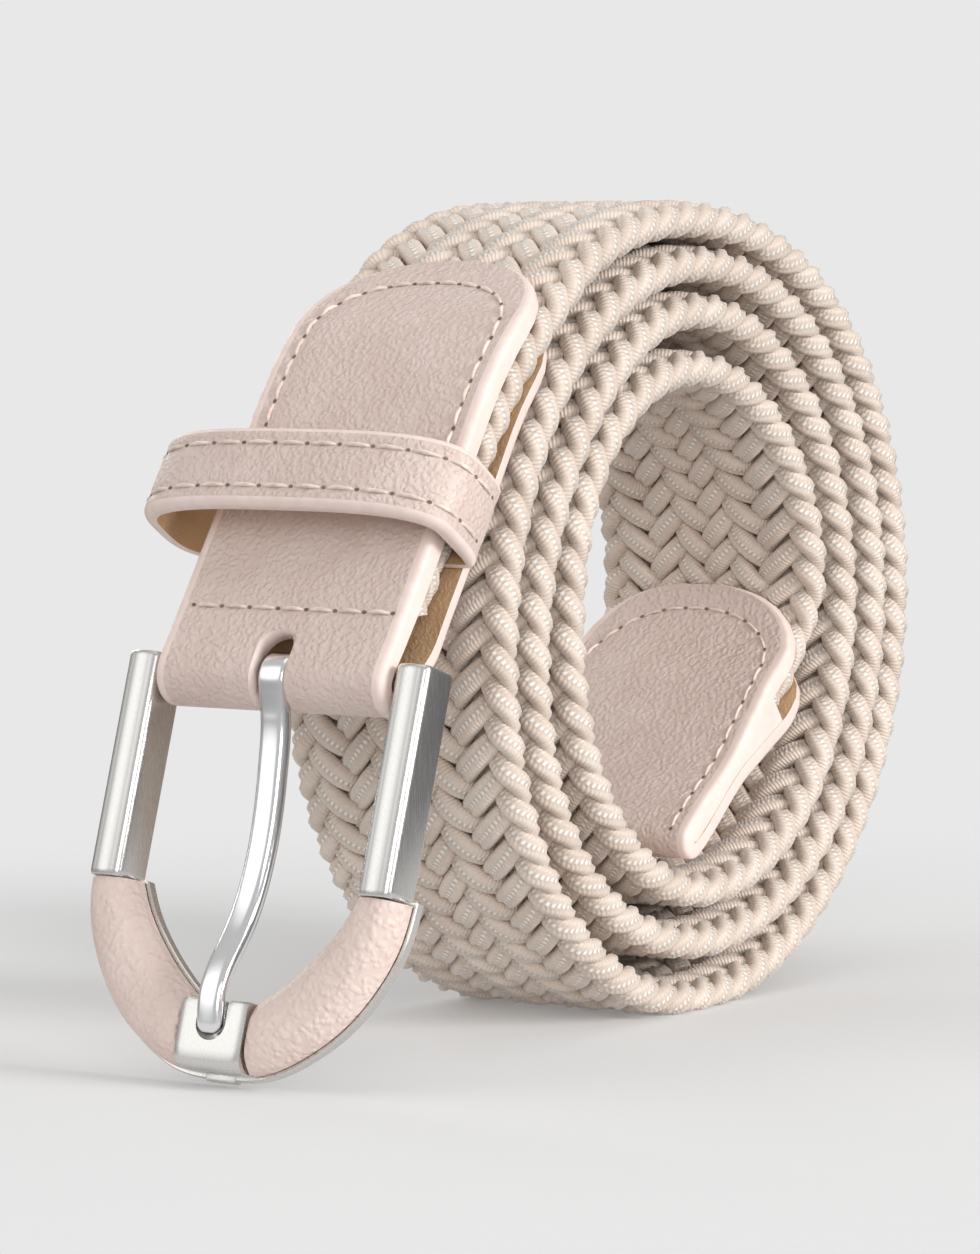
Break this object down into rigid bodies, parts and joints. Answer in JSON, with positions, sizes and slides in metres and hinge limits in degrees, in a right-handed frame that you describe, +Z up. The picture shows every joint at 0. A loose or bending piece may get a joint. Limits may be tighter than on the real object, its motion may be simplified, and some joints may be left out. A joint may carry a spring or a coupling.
{
  "type": "braided elastic belt",
  "caption": "Rolled braided elastic belt with leather ends, a leather keeper and a leather covered pin buckle; it stands on its rim.",
  "frame": {"origin": "on the flat underside of the roll where it rests, below the middle of the roll and in the middle of the webbing's width", "axes": "+Z up; +Y along the axis of the roll, across the webbing; the buckle stands at -X"},
  "size_m": [0.1416, 0.0505, 0.1064],
  "materials": {
    "elastic_braid": "sand coloured braid of covered elastic cords",
    "pink_leather": "pale pink pebbled leather with tan raw edges and matching stitches",
    "brushed_metal": "satin plated zinc casting",
    "polished_metal": "polished plated steel"
  },
  "bodies": {
    "root": {"webbing": "elastic_braid", "buckle_tab": "pink_leather", "keeper": "pink_leather", "tip": "pink_leather"},
    "buckle": {"buckle_frame": "brushed_metal", "arch_leather_left": "pink_leather", "arch_leather_right": "pink_leather"},
    "prong": {"prong": "polished_metal"}
  },
  "joints": [
    {"name": "buckle_swing", "type": "hinge", "parent": "root", "child": "buckle", "pos_m": [-0.0669, 0, 0.04825], "axis": [0, 1, 0], "range_deg": [0, 60]},
    {"name": "prong_swing", "type": "hinge", "parent": "buckle", "child": "prong", "pos_m": [-0.0669, 0, 0.04825], "axis": [0, 1, 0], "range_deg": [0, 80]}
  ]
}
